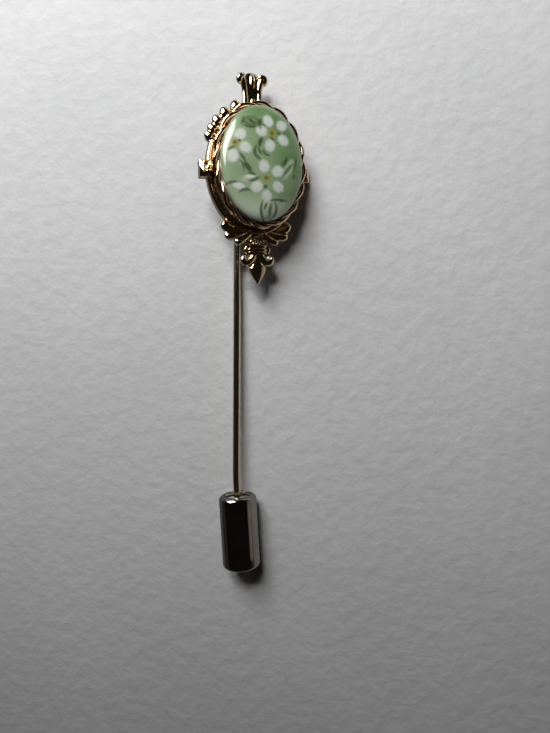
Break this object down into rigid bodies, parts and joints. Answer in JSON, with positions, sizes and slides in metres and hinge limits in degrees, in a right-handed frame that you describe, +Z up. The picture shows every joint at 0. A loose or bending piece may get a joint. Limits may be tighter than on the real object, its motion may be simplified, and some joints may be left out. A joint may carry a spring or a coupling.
{
  "type": "stick pin",
  "caption": "Gilt cast stick pin with a painted oval porcelain stone in a rope bezel, on a straight wire with a sliding clutch over its point",
  "frame": {"origin": "middle of the bounding box on the table that the pin lies on", "axes": "+Z is up from the table, +Y runs towards the finial along the wire as seen from above, +X is to the right as the stone is looked at with the finial up"},
  "size_m": [0.0156, 0.0733, 0.0102],
  "materials": {
    "gilt_casting": "gold plated, polished, darker in the hollows",
    "porcelain": "glossy glaze over a hand painted spray of blossom",
    "gilt_wire": "gold plated, polished",
    "clutch_metal": "polished plated shell",
    "clutch_bush": "plain bush"
  },
  "bodies": {
    "pin": {"setting": "gilt_casting", "cabochon": "porcelain", "pin_stem": "gilt_wire"},
    "clutch": {"clutch_shell": "clutch_metal", "clutch_grip": "clutch_bush"}
  },
  "joints": [
    {"name": "clutch_slide", "type": "slide", "parent": "pin", "child": "clutch", "axis": [0.0663, -0.9968, 0.0448], "range_m": [0, 0.012]}
  ]
}
